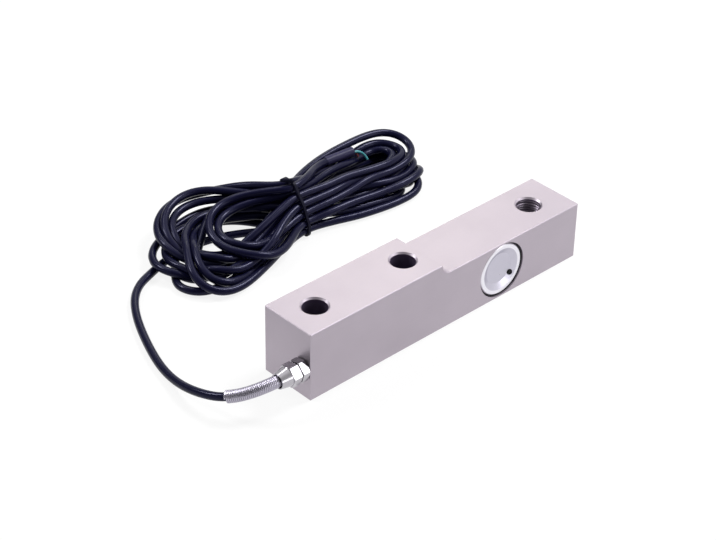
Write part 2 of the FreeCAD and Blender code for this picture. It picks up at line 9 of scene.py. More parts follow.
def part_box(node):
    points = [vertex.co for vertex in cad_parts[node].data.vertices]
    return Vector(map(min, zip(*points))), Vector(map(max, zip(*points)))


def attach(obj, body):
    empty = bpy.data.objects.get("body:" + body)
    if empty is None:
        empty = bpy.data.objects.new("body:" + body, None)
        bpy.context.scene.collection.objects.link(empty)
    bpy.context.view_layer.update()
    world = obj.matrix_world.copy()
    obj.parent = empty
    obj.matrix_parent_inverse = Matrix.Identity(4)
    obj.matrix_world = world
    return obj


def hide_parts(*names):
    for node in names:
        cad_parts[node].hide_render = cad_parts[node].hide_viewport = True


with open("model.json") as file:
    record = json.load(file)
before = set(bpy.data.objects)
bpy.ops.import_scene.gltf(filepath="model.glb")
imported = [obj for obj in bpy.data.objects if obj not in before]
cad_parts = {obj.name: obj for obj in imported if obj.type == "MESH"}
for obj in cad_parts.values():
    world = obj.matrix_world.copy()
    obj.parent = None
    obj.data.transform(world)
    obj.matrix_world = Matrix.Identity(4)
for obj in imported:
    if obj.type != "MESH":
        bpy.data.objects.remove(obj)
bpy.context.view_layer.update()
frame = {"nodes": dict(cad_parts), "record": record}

# Beam: a bar of alloy steel, milled to a stepped pad, bored and tapped, then ground and nickel
# plated. The plating is thin and follows the grinding, so it is pale, satin and faintly warm.
MM = 0.001
nodes = frame["nodes"]
mounts = {mount["name"]: mount for mount in frame["record"]["mounts"]}


def linear(hex_colour):
    """Linear colour of an sRGB hex value."""
    parts = [int(hex_colour[at:at + 2], 16) / 255 for at in (1, 3, 5)]
    return [part / 12.92 if part <= 0.04045 else ((part + 0.055) / 1.055) ** 2.4 for part in parts] + [1.0]


def add_node(tree, kind, inputs=None, **settings):
    """Adds a node, sets its options, and fills its inputs with values or links."""
    made = tree.nodes.new(kind)
    for name, value in settings.items():
        setattr(made, name, value)
    for name, value in (inputs or {}).items():
        if isinstance(value, bpy.types.NodeSocket):
            tree.links.new(value, made.inputs[name])
        else:
            made.inputs[name].default_value = value
    return made


def new_material(name, hex_colour, metallic, roughness):
    """Starts a material from its colour, metal share and roughness, and returns its parts."""
    material = bpy.data.materials.new(name)
    material.use_nodes = True
    tree = material.node_tree
    shader = tree.nodes["Principled BSDF"]
    shader.inputs["Base Color"].default_value = linear(hex_colour)
    shader.inputs["Metallic"].default_value = metallic
    shader.inputs["Roughness"].default_value = roughness
    place = add_node(tree, "ShaderNodeTexCoord").outputs["Object"]
    return material, tree, shader, place


def dress(material, *names):
    """Gives nodes of the frame their finish."""
    for name in names:
        nodes[name].material_slots[0].material = material


GRIND_PITCH = 0.35 * MM  # coarser than real grinding lines, so that they show
GRIND_RUN = 6.0 * MM
CLOUD_SIZE = 30.0 * MM
BORE_SHADE_MARGIN = 0.06 * MM

# Nickel-plated steel, ground: fine lines along the bar break the gloss up, and slow clouds in the plating
# shift its grey a little. Inside the holes the colour is painted darker and less metallic, as painted shade.
plated_steel, tree, shader, place = new_material("nickel_plated_ground_steel", "#B2A9B3", 0.95, 0.42)
along_bar = add_node(tree, "ShaderNodeMapping", {
    "Vector": place, "Scale": (1 / GRIND_RUN, 1 / GRIND_PITCH, 1 / GRIND_PITCH)})
lines = add_node(tree, "ShaderNodeTexNoise", {"Vector": along_bar.outputs[0], "Scale": 1.0, "Detail": 3.0})
clouds = add_node(tree, "ShaderNodeTexNoise", {"Vector": place, "Scale": 1 / CLOUD_SIZE, "Detail": 2.0})
plating = add_node(tree, "ShaderNodeMix", {
    0: clouds.outputs[0], 6: linear("#ACA3AD"), 7: linear("#B7AEB8")}, data_type="RGBA")
apart = add_node(tree, "ShaderNodeSeparateXYZ", {"Vector": place})
flat_place = add_node(tree, "ShaderNodeCombineXYZ", {"X": apart.outputs["X"], "Y": apart.outputs["Y"]})
bore_shade_mask = None
for name in ("mounting_bore_1", "mounting_bore_2", "load_thread"):
    middle = mounts[name]["pos_m"]
    bore_radius = mounts[name]["dims"]["r_mm"] * MM
    reach = add_node(tree, "ShaderNodeVectorMath", {
        0: flat_place.outputs[0], 1: (middle[0], middle[1], 0)}, operation="DISTANCE")
    inside = add_node(tree, "ShaderNodeMath", {
        0: reach.outputs["Value"], 1: bore_radius + BORE_SHADE_MARGIN}, operation="LESS_THAN")
    if bore_shade_mask is None:
        bore_shade_mask = inside.outputs[0]
    else:
        either = add_node(tree, "ShaderNodeMath", {0: bore_shade_mask, 1: inside.outputs[0]}, operation="MAXIMUM")
        bore_shade_mask = either.outputs[0]
# Painted shade: the walls of the bores get a dark purple-grey colour and a lower metal share.
bored = add_node(tree, "ShaderNodeMix", {
    0: bore_shade_mask, 6: plating.outputs[2], 7: linear("#5A4F66")}, data_type="RGBA")
tree.links.new(bored.outputs[2], shader.inputs["Base Color"])
bore_shade_metallic = add_node(tree, "ShaderNodeMapRange", {"Value": bore_shade_mask, "To Min": 0.95, "To Max": 0.45})
tree.links.new(bore_shade_metallic.outputs[0], shader.inputs["Metallic"])
gloss = add_node(tree, "ShaderNodeMapRange", {
    "Value": lines.outputs[0], "To Min": 0.36, "To Max": 0.48})
tree.links.new(gloss.outputs[0], shader.inputs["Roughness"])
ground = add_node(tree, "ShaderNodeBump", {
    "Height": lines.outputs[0], "Strength": 0.08, "Distance": 0.02 * MM})
tree.links.new(ground.outputs[0], shader.inputs["Normal"])
dress(plated_steel, "beam_body")


# Thread of the load hole: a fine metric thread cut with a tap through the free end of the bar.
# Its crests catch the light as fine rings inside the dark hole.
THREAD_PITCH = 1.5 * MM
THREAD_DEPTH = 0.8 * MM
THREAD_CREST = 0.2 * MM
THREAD_FOOT = 0.84 * THREAD_PITCH  # width at the foot, so that the turns stay just apart
THREAD_STEPS = 48
SCUFF_SIZE = 0.8 * MM


def add_piece(name, corners, faces, material):
    """Makes a smooth mesh piece that rides on the part's one body."""
    mesh = bpy.data.meshes.new(name)
    mesh.from_pydata(corners, [], faces)
    mesh.materials.append(material)
    mesh.shade_smooth()
    piece = bpy.data.objects.new(name, mesh)
    bpy.context.scene.collection.objects.link(piece)
    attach(piece, "root")
    return piece


load_hole = mounts["load_thread"]
hole_x, hole_y, hole_z = load_hole["pos_m"]
thread_radius = load_hole["dims"]["r_mm"] * MM
thread_length = load_hole["dims"]["length_mm"] * MM - THREAD_PITCH
turns = thread_length / THREAD_PITCH
profile = [(0, -THREAD_FOOT / 2), (THREAD_DEPTH, -THREAD_CREST / 2),
           (THREAD_DEPTH, THREAD_CREST / 2), (0, THREAD_FOOT / 2)]
corners = []
faces = []
steps = int(turns * THREAD_STEPS)
for step in range(steps + 1):
    angle = 2 * math.pi * step / THREAD_STEPS
    height = hole_z - thread_length / 2 + THREAD_PITCH * step / THREAD_STEPS
    runout = min(1.0, step / THREAD_STEPS, (steps - step) / THREAD_STEPS)
    for depth, lift in profile:
        radius = thread_radius - depth * runout
        corners.append((hole_x + radius * math.cos(angle), hole_y + radius * math.sin(angle), height + lift))
    if step:
        here = len(corners) - 4
        faces += [(here + k, here + k + 1, here + k - 3, here + k - 4) for k in range(3)]

# Steel of the tapped hole: coloured darker than the plating as painted shade in the hole,
# with a soft oily shine on the crests.
thread_shade_steel, tree, shader, place = new_material("tapped_steel", "#847B88", 0.8, 0.35)
scuffs = add_node(tree, "ShaderNodeTexNoise", {"Vector": place, "Scale": 1 / SCUFF_SIZE, "Detail": 3.0})
scuffed = add_node(tree, "ShaderNodeMapRange", {"Value": scuffs.outputs[0], "To Min": 0.3, "To Max": 0.5})
tree.links.new(scuffed.outputs[0], shader.inputs["Roughness"])
add_piece("load_hole_thread", corners, faces, thread_shade_steel)


# Strain gauges: foil grids on amber polyimide film, bonded to both faces of the shear web.
# The film is thin and glossy, and the grid lines show through it as fine grey bars.
GRID_PITCH = 0.6 * MM
WAVE_LENGTH = 0.314  # length of one band of a wave texture at scale 1
gauge_film, tree, shader, place = new_material("polyimide_film", "#B9822E", 0.0, 0.3)
grid = add_node(tree, "ShaderNodeTexWave", {
    "Vector": place, "Scale": WAVE_LENGTH / GRID_PITCH}, wave_type="BANDS", bands_direction="DIAGONAL")
foil = add_node(tree, "ShaderNodeMix", {
    0: grid.outputs["Fac"], 6: linear("#B9822E"), 7: linear("#8C7A5E")}, data_type="RGBA")
tree.links.new(foil.outputs[2], shader.inputs["Base Color"])
dress(gauge_film, "front_strain_gauge", "rear_strain_gauge")

# Inner wires: fine copper leads of the gauges and the wires that bridge the web, soldered at both ends.
# Drawn and dipped in tin, they are bright and a little lumpy, with copper showing through.
SOLDER_LUMP = 0.9 * MM
lead_wire, tree, shader, place = new_material("tinned_copper", "#C9B9A6", 1.0, 0.3)
lumps = add_node(tree, "ShaderNodeTexNoise", {"Vector": place, "Scale": 1 / SOLDER_LUMP, "Detail": 2.0})
tinned = add_node(tree, "ShaderNodeMix", {
    0: lumps.outputs[0], 6: linear("#B98F6A"), 7: linear("#D8D4CE")}, data_type="RGBA")
tree.links.new(tinned.outputs[2], shader.inputs["Base Color"])
dress(lead_wire, "front_gauge_leads", "rear_gauge_leads", "bridge_wires")


# Terminal board and strip: small plates of glass laminate that the wires are soldered to.
# The weave of the glass cloth shows through the resin.
CLOTH_WEAVE = 1.2 * MM  # coarser than the real cloth, so that it shows
laminate, tree, shader, place = new_material("glass_laminate", "#3E6A45", 0.0, 0.45)
weave = add_node(tree, "ShaderNodeTexBrick", {
    "Vector": place, "Scale": 1 / CLOTH_WEAVE, "Color1": linear("#3E6A45"), "Color2": linear("#4A7850"),
    "Mortar": linear("#335A3B")})
tree.links.new(weave.outputs["Color"], shader.inputs["Base Color"])
dress(laminate, "terminal_board", "rear_terminal_strip")

# Compensation bobbins: moulded nylon spools with a winding of fine enamelled wire, bonded to the web.
# The pale nylon is dull, and the winding ribs it with fine lines.
WINDING_PITCH = 0.35 * MM
bobbin_plastic, tree, shader, place = new_material("moulded_nylon", "#C8BFA8", 0.0, 0.5)
winding = add_node(tree, "ShaderNodeTexWave", {
    "Vector": place, "Scale": WAVE_LENGTH / WINDING_PITCH}, wave_type="BANDS", bands_direction="Y")
wound = add_node(tree, "ShaderNodeBump", {
    "Height": winding.outputs["Fac"], "Strength": 0.3, "Distance": 0.05 * MM})
tree.links.new(wound.outputs[0], shader.inputs["Normal"])
dress(bobbin_plastic, "compensation_bobbins")


# Covers: discs pressed from stainless sheet with a shallow dish, one over each gauge pocket.
# The rim is painted brighter than the dish as a painted highlight, and the dish has faint rings from its
# turning.
TOOL_RING = 0.5 * MM
RIM_WIDTH = 2.4 * MM
RIM_EDGE = 0.3 * MM
BLOTCH_SIZE = 4.0 * MM
cover_low, cover_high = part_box("front_cover")
cover_middle = (cover_low + cover_high) / 2
cover_steel, tree, shader, place = new_material("pressed_stainless_sheet", "#C6C3D0", 0.95, 0.3)
centred = add_node(tree, "ShaderNodeVectorMath", {
    0: place, 1: (cover_middle.x, 0, cover_middle.z)}, operation="SUBTRACT")
over_disc = add_node(tree, "ShaderNodeVectorMath", {
    0: centred.outputs[0], 1: (1, 0, 1)}, operation="MULTIPLY")
from_middle = add_node(tree, "ShaderNodeVectorMath", {0: over_disc.outputs[0]}, operation="LENGTH")
rim_start = (cover_high.x - cover_low.x) / 2 - RIM_WIDTH
on_rim = add_node(tree, "ShaderNodeMapRange", {
    "Value": from_middle.outputs["Value"], "From Min": rim_start - RIM_EDGE, "From Max": rim_start})
# Painted highlight: the rim's outer band gets a paler colour than the dish.
painted_rim_highlight = add_node(tree, "ShaderNodeMix", {
    0: on_rim.outputs[0], 6: linear("#C2BFCC"), 7: linear("#EAE8F0")}, data_type="RGBA")
tree.links.new(painted_rim_highlight.outputs[2], shader.inputs["Base Color"])
rings = add_node(tree, "ShaderNodeTexWave", {
    "Vector": centred.outputs[0], "Scale": WAVE_LENGTH / TOOL_RING, "Distortion": 0.6, "Detail": 2.0},
    wave_type="RINGS", rings_direction="Y")
blotches = add_node(tree, "ShaderNodeTexNoise", {"Vector": place, "Scale": 1 / BLOTCH_SIZE, "Detail": 4.0})
sheet_gloss = add_node(tree, "ShaderNodeMapRange", {
    "Value": blotches.outputs[0], "To Min": 0.22, "To Max": 0.42})
tree.links.new(sheet_gloss.outputs[0], shader.inputs["Roughness"])
turned = add_node(tree, "ShaderNodeBump", {
    "Height": rings.outputs["Fac"], "Strength": 0.12, "Distance": 0.03 * MM})
tree.links.new(turned.outputs[0], shader.inputs["Normal"])
dress(cover_steel, "front_cover", "rear_cover")

# Beads: dark silicone sealant, run by hand into the groove round each cover and left to cure.
# It is rubbery, matt and slightly uneven.
SMEAR_SIZE = 1.5 * MM
sealant, tree, shader, place = new_material("silicone_sealant", "#1A181F", 0.0, 0.55)
shader.inputs["Specular IOR Level"].default_value = 0.2
lumpy = add_node(tree, "ShaderNodeTexNoise", {"Vector": place, "Scale": 1 / SMEAR_SIZE, "Detail": 3.0})
smeared = add_node(tree, "ShaderNodeMix", {
    0: lumpy.outputs[0], 6: linear("#121016"), 7: linear("#242129")}, data_type="RGBA")
tree.links.new(smeared.outputs[2], shader.inputs["Base Color"])
bead_skin = add_node(tree, "ShaderNodeBump", {
    "Height": lumpy.outputs[0], "Strength": 0.5, "Distance": 0.15 * MM})
tree.links.new(bead_skin.outputs[0], shader.inputs["Normal"])
dress(sealant, "front_cover_bead", "rear_cover_bead")

# Rubber parts: the vent plugs that are pressed into the covers, and the seal and bush of the gland.
# All are moulded from black nitrile rubber, which has a fine matt skin.
RUBBER_GRAIN = 0.4 * MM
plug_rubber, tree, shader, place = new_material("nitrile_rubber", "#0C0B0E", 0.0, 0.5)
shader.inputs["Specular IOR Level"].default_value = 0.2
grain = add_node(tree, "ShaderNodeTexNoise", {"Vector": place, "Scale": 1 / RUBBER_GRAIN, "Detail": 3.0})
matt_skin = add_node(tree, "ShaderNodeBump", {
    "Height": grain.outputs[0], "Strength": 0.25, "Distance": 0.05 * MM})
tree.links.new(matt_skin.outputs[0], shader.inputs["Normal"])
dress(plug_rubber, "front_vent_plug", "rear_vent_plug", "gland_seal", "seal_bush")


# Cable gland: a hexagon body screwed into the end face and a hexagon nut with a round nose, both
# turned from brass bar and nickel plated bright. The hexagons keep the bar's polish.
TURNING_PITCH = 0.3 * MM
TURNING_STRETCH = 0.05  # the lines run on round the gland far longer than they are wide

# Bright nickel on turned brass: mirrors the studio in clear strips that fine turning lines soften.
plated_brass, tree, shader, place = new_material("bright_nickel_on_brass", "#B6B3B9", 1.0, 0.16)
across = add_node(tree, "ShaderNodeMapping", {
    "Vector": place,
    "Scale": (1 / TURNING_PITCH, TURNING_STRETCH / TURNING_PITCH, TURNING_STRETCH / TURNING_PITCH)})
turning = add_node(tree, "ShaderNodeTexNoise", {"Vector": across.outputs[0], "Scale": 1.0, "Detail": 2.0})
turned_gloss = add_node(tree, "ShaderNodeMapRange", {
    "Value": turning.outputs[0], "To Min": 0.1, "To Max": 0.24})
tree.links.new(turned_gloss.outputs[0], shader.inputs["Roughness"])
turned_lines = add_node(tree, "ShaderNodeBump", {
    "Height": turning.outputs[0], "Strength": 0.1, "Distance": 0.02 * MM})
tree.links.new(turned_lines.outputs[0], shader.inputs["Normal"])
dress(plated_brass, "gland_body", "gland_nut")

# Thrust washer: a ring punched from brass sheet that lies between the nut and the bush.
# Bare brass, yellow and patchy with tarnish.
TARNISH_SIZE = 2.0 * MM
washer_brass, tree, shader, place = new_material("punched_brass", "#B08D45", 1.0, 0.35)
tarnish = add_node(tree, "ShaderNodeTexNoise", {"Vector": place, "Scale": 1 / TARNISH_SIZE, "Detail": 3.0})
dull = add_node(tree, "ShaderNodeMapRange", {"Value": tarnish.outputs[0], "To Min": 0.25, "To Max": 0.5})
tree.links.new(dull.outputs[0], shader.inputs["Roughness"])
dress(washer_brass, "thrust_washer")


# Cable: a round four-core cable in a navy-black jacket. It leaves the gland straight, sags to the
# floor, and goes into a hank of loose folds that a tie holds at the waist. Its free end lies on top.
CABLE_DIAMETER = 4.8  # millimetres, like the whole route
LEAD_ROUTE = [(-106.6, -12.2, 18.4), (-126.2, -12.2, 18.4), (-143.2, -0.4, 12.8), (-148.3, 20.9, 7.8),
              (-145.7, 44.1, 2.6), (-139.7, 66.7, 2.5), (-124.7, 100.8, 2.5), (-109.1, 120.4, 2.5),
              (-88.2, 128.0, 2.5)]
WAIST = np.array([0.0, 109.5, 0.0])

# Places of the strands in the waist: each row's height and its first strand from the front
STRAND_PITCH = 5.0
STRAND_ROWS = {"a": (3.9, -9.4), "b": (8.7, -9.0), "c": (13.5, -7.0), "d": (18.3, -4.6), "e": (23.1, -1.6),
               "f": (27.9, 1.6)}

# Folds in the order that the cable makes them, right and left of the waist in turn: reach, heading,
# end radius, height of the back and front strand, bow of the back and front strand, and their places
# in the waist
FOLDS = [
    (81, -6, 10, 5, 3, 0, 4, "a2", "b1"),
    (79, 190, 13, 10, 4, 31, 0, "b2", "b1"),
    (91, 4, 14, 7, 7, 0, 0, "b3", "b2"),
    (84, 172, 23, 10, 6, 6, 0, "b3", "c1"),
    (92, 3, 13, 9, 9, 0, 0, "d3", "c1"),
    (75, 160, 25, 16, 8, 1, 0, "d3", "c3"),
    (93, 3, 15, 8, 8, 0, 0, "c3", "d1"),
    (79, 159, 29, 20, 8, 0, 0, "e2", "d1"),
    (97, 5, 14, 23, 16, 6, 0, "e2", "c0"),
    (52, 176, 17, 17, 10, 3, 0, "e1", "c0"),
    (86, 5, 12, 15, 14, 0, 0, "e1", "d0"),
    (73, 185, 16, 9, 6, 22, 0, "d2", "d0"),
    (90, 5, 13, 15, 16, 0, 0, "d2", "e0"),
    (81, 158, 29, 18, 8, 1, 0, "f1", "e0"),
    (88, 6, 13, 13, 13, 0, 0, "f1", "c2"),
    (86, 191, 14, 12, 3, 34, 0, "c2", "a0"),
    (88, -9, 10, 8, 3, 0, 2, "a1", "a0"),
    (90, 185, 14, 5, 3, 31, 0, "a3", "a1"),
    (89, -1, 15, 4, 4, 0, 0, "b4", "a3"),
    (92, 170, 21, 8, 4, 18, 0, "b4", "a4"),
    (92, -1, 16, 6, 9, 0, 0, "a4", "b0"),
    (57, 178, 24, 20, 8, 3, 0, "f0", "b0"),
]
INTO_HANK = [(-88.2, 18.5, 2.5), (-68, 24, 2.5), (-42, 20, 2.6), (-18, 8, 3.4)]
FREE_END = [(14, 6, 26.5), (28, 13, 24.5), (38.5, 16.0, 22.9), (48, 15.1, 22.9), (55, 14.4, 22.9)]
END_SWEEP = 105  # degrees of each fold's round end, either side of its tip
END_POINTS = 11
BOW_SHARE = 1.5  # degrees less of the round end for each millimetre that a strand bows out
WAIST_RUN = 3.0  # straight run of a strand on each side of the tie
POINT_SPACING = 4.5
STRAND_GAP = 4.95  # strands that touch lie this far apart, middle to middle
FLOOR_GAP = 0.05
TIE_GRIP_REACH = 5.0  # the tie holds the strands about this far to either side
HELD_AT_START = 3  # points that keep their place where the lead comes in
HELD_AT_END = 8  # points that keep their place at the free end
SAME_STRAND = 5  # points nearer along the cable than this don't push each other
ROUNDS_PER_SEARCH = 8


def waist_place(name):
    """Place of a strand in the waist, by its row's letter and its number from the front."""
    height, first = STRAND_ROWS[name[0]]
    return np.array([0.0, first + STRAND_PITCH * int(name[1]), height])


def fold_points(reach, heading, radius, back_height, front_height, back_bow, front_bow, back, front):
    """Points of one fold, from its back strand round the end to its front strand."""
    out = np.array([math.cos(math.radians(heading)), math.sin(math.radians(heading)), 0.0])
    side = np.array([-out[1], out[0], 0.0]) * (1 if out[0] > 0 else -1)
    middle = out * (reach - radius) + np.array([0, 0, (back_height + front_height) / 2])
    tilt = np.array([0, 0, (back_height - front_height) / 2])
    end = []
    sweep = np.linspace(END_SWEEP - BOW_SHARE * back_bow, BOW_SHARE * front_bow - END_SWEEP, END_POINTS)
    for angle in np.radians(sweep):
        around = math.cos(angle) * out + math.sin(angle) * side
        end.append(middle + radius * around + math.sin(angle) * tilt)
    runs = []
    for name, tip, bow in ((back, end[0], back_bow), (front, end[-1], -front_bow)):
        tied = waist_place(name)
        leaving = tied + np.array([WAIST_RUN * np.sign(out[0]), 0.0, 0.0])
        run = [tied, leaving]
        for share in (0.25, 0.5, 0.75):
            run.append(leaving + (tip - leaving) * share + side * bow * math.sin(math.pi * share))
        runs.append(run)
    return runs[0] + end + runs[1][::-1]


def evenly_spaced(points, spacing):
    """Points at equal distances along a line of points."""
    steps = np.linalg.norm(np.diff(points, axis=0), axis=1)
    distance = np.concatenate([[0], np.cumsum(steps)])
    wanted = np.linspace(0, distance[-1], int(round(distance[-1] / spacing)) + 1)
    return np.stack([np.interp(wanted, distance, points[:, axis]) for axis in range(3)], axis=1)


def settle(rest, rounds=500, pull=0.012, grip=0.18, stiffness=0.11, push_off=0.4):
    """Lets the strands settle: each keeps near its place, resists bending and pushes off what it touches."""
    line = rest.copy()
    count = len(line)
    hold = pull + grip * np.exp(-(rest[:, 0] / TIE_GRIP_REACH) ** 2)
    hold[:HELD_AT_START] = 1.0
    hold[-HELD_AT_END:] = 1.0
    for turn in range(rounds):
        if turn % ROUNDS_PER_SEARCH == 0:
            apart = np.linalg.norm(line[:, None] - line[None], axis=2)
            first, second = np.nonzero(np.triu(apart < STRAND_GAP + POINT_SPACING, SAME_STRAND))
        line += hold[:, None] * (rest - line)
        padded = np.vstack([2 * line[0] - line[1], line, 2 * line[-1] - line[-2]])
        bend = padded[:-2] - 2 * padded[1:-1] + padded[2:]
        bend = np.vstack([bend[:1], bend, bend[-1:]])
        line -= stiffness * (bend[:-2] - 2 * bend[1:-1] + bend[2:])
        between = line[first] - line[second]
        gap = np.linalg.norm(between, axis=1) + 1e-9
        touching = gap < STRAND_GAP
        push = (between / gap[:, None] * push_off * (STRAND_GAP - gap)[:, None])[touching]
        for axis in range(3):
            line[:, axis] += np.bincount(first[touching], push[:, axis], count)
            line[:, axis] -= np.bincount(second[touching], push[:, axis], count)
        line[:, 2] = np.maximum(line[:, 2], CABLE_DIAMETER / 2 + FLOOR_GAP)
    return line


strand = [np.array(point, float) for point in INTO_HANK]
reached = "a2"
for fold in FOLDS:
    points = fold_points(*fold)
    back, front = fold[-2:]
    if reached == front:
        points.reverse()
    reached = back if reached == front else front
    strand += points[:-1]
strand.append(waist_place(reached))
strand += [np.array(point, float) for point in FREE_END]
hank_line = settle(evenly_spaced(np.array(strand), POINT_SPACING)) + WAIST

# Extruded PVC jacket: navy black and smooth, with narrow highlights that the faint ripple of the
# cores under it breaks up.
CORE_RIPPLE = 2.2 * MM
jacket, tree, shader, place = new_material("extruded_pvc", "#101028", 0.0, 0.23)
shader.inputs["Specular IOR Level"].default_value = 0.16
shader.inputs["Specular Tint"].default_value = linear("#D6D6FF")
ripple = add_node(tree, "ShaderNodeTexNoise", {"Vector": place, "Scale": 1 / CORE_RIPPLE, "Detail": 3.0})
worn = add_node(tree, "ShaderNodeMapRange", {"Value": ripple.outputs[0], "To Min": 0.19, "To Max": 0.27})
tree.links.new(worn.outputs[0], shader.inputs["Roughness"])
rippled = add_node(tree, "ShaderNodeBump", {
    "Height": ripple.outputs[0], "Strength": 0.15, "Distance": 0.1 * MM})
tree.links.new(rippled.outputs[0], shader.inputs["Normal"])

cable_curve = bpy.data.curves.new("cable", "CURVE")
cable_curve.dimensions = "3D"
route = [(x * MM, y * MM, z * MM, 1.0) for x, y, z in LEAD_ROUTE[:-1] + [tuple(p) for p in hank_line]]
spline = cable_curve.splines.new("NURBS")
spline.points.add(len(route) - 1)
spline.points.foreach_set("co", [value for point in route for value in point])
spline.order_u = 3
spline.use_endpoint_u = True
spline.resolution_u = 8
cable = bpy.data.objects.new("cable", cable_curve)
bpy.context.scene.collection.objects.link(cable)
bare_line = bpy.data.meshes.new_from_object(cable)
cable_path = [vertex.co.copy() for vertex in bare_line.vertices]
bpy.data.meshes.remove(bare_line)
cable_curve.bevel_depth = CABLE_DIAMETER / 2 * MM
cable_curve.bevel_resolution = 4
cable_curve.use_fill_caps = True
cable_curve.materials.append(jacket)
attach(cable, "root")
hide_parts("cable_lead", "cable_hank")


# Bend spring: a close-wound spring of flattened steel wire over the cable where it leaves the gland.
# Its thirty-five turns lie nearly flush and show as fine lines across a smooth bright tube.
SPRING_WIRE = 0.9 * MM
SPRING_PITCH = 0.93 * MM
WIRE_CORNER = (0, 37, 45, 53)  # degrees of the points on each quarter of the flattened section
WIRE_SIDES = 4 * len(WIRE_CORNER)
WIRE_SQUARENESS = 10.0  # two is a round section, more has flatter sides
COIL_STEPS = 24
COIL_REACH = 3.0 * MM  # the coils follow the cable's direction over this much to either side
SPRING_CLEARANCE = 0.2 * MM
SPRING_START = 7.1 * MM  # along the cable from its first point
SPRING_LENGTH = 33.0 * MM

coil_radius = CABLE_DIAMETER / 2 * MM + SPRING_CLEARANCE + SPRING_WIRE / 2
path = np.array([tuple(point) for point in cable_path])
run = np.concatenate([[0], np.cumsum(np.linalg.norm(np.diff(path, axis=0), axis=1))])
coil_count = int(SPRING_LENGTH / SPRING_PITCH * COIL_STEPS)
centres = []
for step in range(coil_count + 1):
    distance = SPRING_START + SPRING_LENGTH * step / coil_count
    middle, ahead, behind = [
        Vector([np.interp(distance + shift, run, path[:, axis]) for axis in range(3)])
        for shift in (0, COIL_REACH, -COIL_REACH)]
    forward = (ahead - behind).normalized()
    sideways = forward.cross(Vector((0, 0, 1))).normalized()
    upward = sideways.cross(forward)
    angle = 2 * math.pi * step / COIL_STEPS
    outward = math.cos(angle) * sideways + math.sin(angle) * upward
    centres.append((middle + coil_radius * outward, outward, forward))
corners = []
faces = []
for step, (centre, outward, forward) in enumerate(centres):
    for side in range(WIRE_SIDES):
        quarter, corner = divmod(side, len(WIRE_CORNER))
        angle = math.radians(90 * quarter + WIRE_CORNER[corner])
        rise, along = math.cos(angle), math.sin(angle)
        swell = (abs(rise) ** WIRE_SQUARENESS + abs(along) ** WIRE_SQUARENESS) ** (1 / WIRE_SQUARENESS)
        corners.append(centre + SPRING_WIRE / 2 / swell * (rise * outward + along * forward))
    if step:
        here = step * WIRE_SIDES
        last = here - WIRE_SIDES
        for side in range(WIRE_SIDES):
            following = (side + 1) % WIRE_SIDES
            faces.append((last + side, last + following, here + following, here + side))
faces.append(tuple(range(WIRE_SIDES)))
faces.append(tuple(reversed(range(len(corners) - WIRE_SIDES, len(corners)))))

# Drawn spring steel: grey and satin, with fine scratches from the die.
DIE_SCRATCH = 0.5 * MM
spring_steel, tree, shader, place = new_material("drawn_spring_steel", "#AFABB9", 1.0, 0.32)
drawn = add_node(tree, "ShaderNodeTexNoise", {"Vector": place, "Scale": 1 / DIE_SCRATCH, "Detail": 3.0})
drawn_gloss = add_node(tree, "ShaderNodeMapRange", {
    "Value": drawn.outputs[0], "To Min": 0.24, "To Max": 0.42})
tree.links.new(drawn_gloss.outputs[0], shader.inputs["Roughness"])
spring = add_piece("spring_coil", [tuple(point) for point in corners], faces, spring_steel)
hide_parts("bend_spring")


# Free end: a sleeve of heat-shrink tube over the end of the jacket and the ends of the four cores.
# The sleeve has shrunk tight, and it is duller than the jacket, with soft creases.
CREASE_SIZE = 2.5 * MM
sleeve_skin, tree, shader, place = new_material("heat_shrink_tube", "#2A2845", 0.0, 0.38)
shader.inputs["Specular IOR Level"].default_value = 0.12
creases = add_node(tree, "ShaderNodeTexNoise", {"Vector": place, "Scale": 1 / CREASE_SIZE, "Detail": 2.0})
shrunk = add_node(tree, "ShaderNodeBump", {
    "Height": creases.outputs[0], "Strength": 0.35, "Distance": 0.25 * MM})
tree.links.new(shrunk.outputs[0], shader.inputs["Normal"])
dress(sleeve_skin, "end_sleeve")

# Cores: four wires of stranded copper in coloured PVC insulation, which run from the terminals through
# the cable to its bare end. The insulation is extruded thin, and its gloss has faint streaks.
STREAK_SIZE = 1.2 * MM
CORE_COLOURS = {"red": "#6E1F2A", "black": "#18181B", "green": "#2E858E", "white": "#D9D6D0"}
for core, hex_colour in CORE_COLOURS.items():
    insulation, tree, shader, place = new_material("pvc_insulation_" + core, hex_colour, 0.0, 0.24)
    streaks = add_node(tree, "ShaderNodeTexNoise", {"Vector": place, "Scale": 1 / STREAK_SIZE, "Detail": 2.0})
    streaked = add_node(tree, "ShaderNodeMapRange", {
        "Value": streaks.outputs[0], "To Min": 0.18, "To Max": 0.3})
    tree.links.new(streaked.outputs[0], shader.inputs["Roughness"])
    dress(insulation, "core_" + core, "end_core_" + core)


# Tie: a thin wire in a polyethylene coating, laid round the waist of the hank and twisted tight on top.
# The coating is black, waxy and a little wrinkled where the wire bends.
WRINKLE_SIZE = 0.8 * MM
tie_plastic, tree, shader, place = new_material("polyethylene_coating", "#0F0F20", 0.0, 0.45)
shader.inputs["Specular IOR Level"].default_value = 0.08
wrinkles = add_node(tree, "ShaderNodeTexNoise", {"Vector": place, "Scale": 1 / WRINKLE_SIZE, "Detail": 2.0})
wrinkled = add_node(tree, "ShaderNodeBump", {
    "Height": wrinkles.outputs[0], "Strength": 0.3, "Distance": 0.08 * MM})
tree.links.new(wrinkled.outputs[0], shader.inputs["Normal"])
dress(tie_plastic, "cable_tie")


